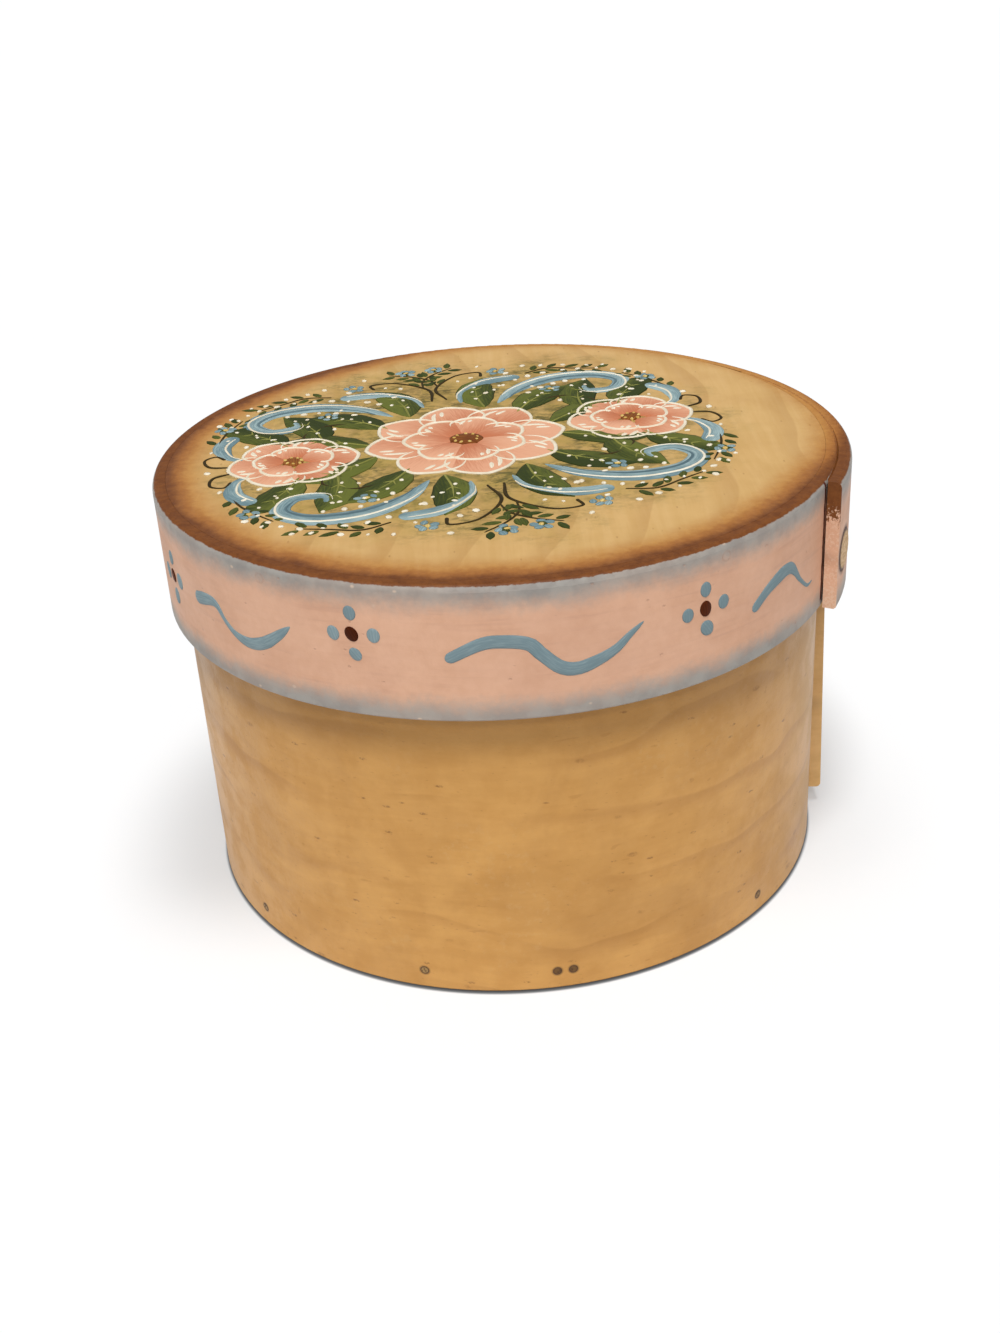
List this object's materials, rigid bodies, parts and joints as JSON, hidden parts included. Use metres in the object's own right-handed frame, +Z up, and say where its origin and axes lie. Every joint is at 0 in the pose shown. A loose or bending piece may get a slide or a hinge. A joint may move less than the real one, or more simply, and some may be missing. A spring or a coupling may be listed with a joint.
{
  "type": "round bentwood box",
  "caption": "Round bentwood box with lapped and pegged hoop walls and a painted lift-off lid.",
  "frame": {"origin": "centre of the foot, on the surface the box stands on", "axes": "+Z up through the centre of the lid; the lap of the lid ends 28 degrees from +X towards -Y"},
  "size_m": [0.1697, 0.1674, 0.1072],
  "materials": {
    "body_wood": "satin varnish over honey coloured wood",
    "board_wood": "satin varnish over turned board",
    "lid_board_wood": "satin varnish over stained and painted board",
    "lid_rim_paint": "pink paint over wood, eggshell",
    "peg_wood": "turned wood, satin",
    "brad_steel": "dull darkened steel"
  },
  "bodies": {
    "box": {"body_band": "body_wood", "bottom_board": "board_wood", "bottom_brads": "brad_steel", "body_lap_peg_upper": "peg_wood", "body_lap_peg_lower": "peg_wood"},
    "lid": {"lid_band": "lid_rim_paint", "lid_board": "lid_board_wood", "lid_brads": "brad_steel", "lid_lap_peg": "peg_wood"}
  },
  "joints": [
    {"name": "lid_lift", "type": "slide", "parent": "box", "child": "lid", "axis": [0, 0, 1], "range_m": [0, 0.12]}
  ]
}
